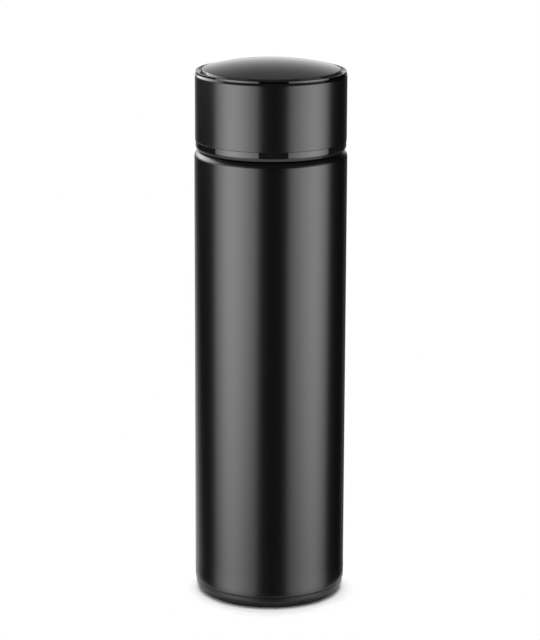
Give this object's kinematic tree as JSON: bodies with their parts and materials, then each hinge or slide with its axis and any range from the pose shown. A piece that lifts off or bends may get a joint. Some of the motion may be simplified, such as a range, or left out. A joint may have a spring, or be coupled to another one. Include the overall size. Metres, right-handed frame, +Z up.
{
  "type": "vacuum flask",
  "caption": "Slim double-walled steel vacuum flask, satin black, with a full-width screw lid that has a domed glossy window over a touch thermometer.",
  "frame": {"origin": "centre of the foot, on the ground", "axes": "+Z up along the flask's axis; +Y towards the back"},
  "size_m": [0.0654, 0.0654, 0.2345],
  "materials": {
    "painted_steel": "satin black paint",
    "bare_steel": "bare steel, turned",
    "solder_glass": "grey solder glass",
    "getter_alloy": "dull sintered alloy",
    "painted_aluminium": "matt black paint",
    "glossy_black_plastic": "glossy moulded black",
    "white_plastic": "moulded white",
    "clear_silicone": "milky silicone",
    "white_foam": "cut foam",
    "bulb_glass": "glass bead on tinned leads",
    "matt_black_plastic": "fine moulded texture",
    "board": "green solder mask",
    "chip_plastic": "moulded black",
    "display_plastic": "black face with pale segments",
    "spring_steel": "nickel plated",
    "cell_steel": "nickel plated can",
    "black_foam": "closed-cell foam tape",
    "tinted_window": "polished, tinted almost black"
  },
  "bodies": {
    "flask": {"outer_shell": "painted_steel", "inner_liner": "bare_steel", "vacuum_base": "bare_steel", "vacuum_seal": "solder_glass", "getter": "getter_alloy", "base_cap": "painted_steel"},
    "lift_carrier": {"lid_insulation": "white_foam"},
    "rise_carrier": {"mouth_seal": "clear_silicone"},
    "lid": {"lid_sleeve": "painted_aluminium", "lid_bezel": "glossy_black_plastic", "lid_core": "glossy_black_plastic", "inner_plug": "white_plastic", "sensor_cup": "bare_steel", "sensor_seal": "clear_silicone", "thermistor": "bulb_glass", "electronics_cup": "matt_black_plastic", "circuit_board": "board", "controller_chip": "chip_plastic", "led_display": "display_plastic", "touch_spring": "spring_steel", "coin_cell": "cell_steel", "battery_clip": "spring_steel", "lens_gasket": "black_foam", "display_lens": "tinted_window"}
  },
  "joints": [
    {"name": "lid_lift", "type": "slide", "parent": "flask", "child": "lift_carrier", "axis": [0, 0, 1], "range_m": [0, 0.12]},
    {"name": "thread_rise", "type": "slide", "parent": "lift_carrier", "child": "rise_carrier", "axis": [0, 0, 1], "range_m": [0, 0.00601]},
    {"name": "lid_turn", "type": "hinge", "parent": "rise_carrier", "child": "lid", "pos_m": [0, 0, 0.2], "axis": [0, 0, 1], "range_deg": [0, 540]}
  ],
  "couplings": [
    {"joint": "thread_rise", "follows": "lid_turn", "m_per_rad": 0.00063662}
  ]
}
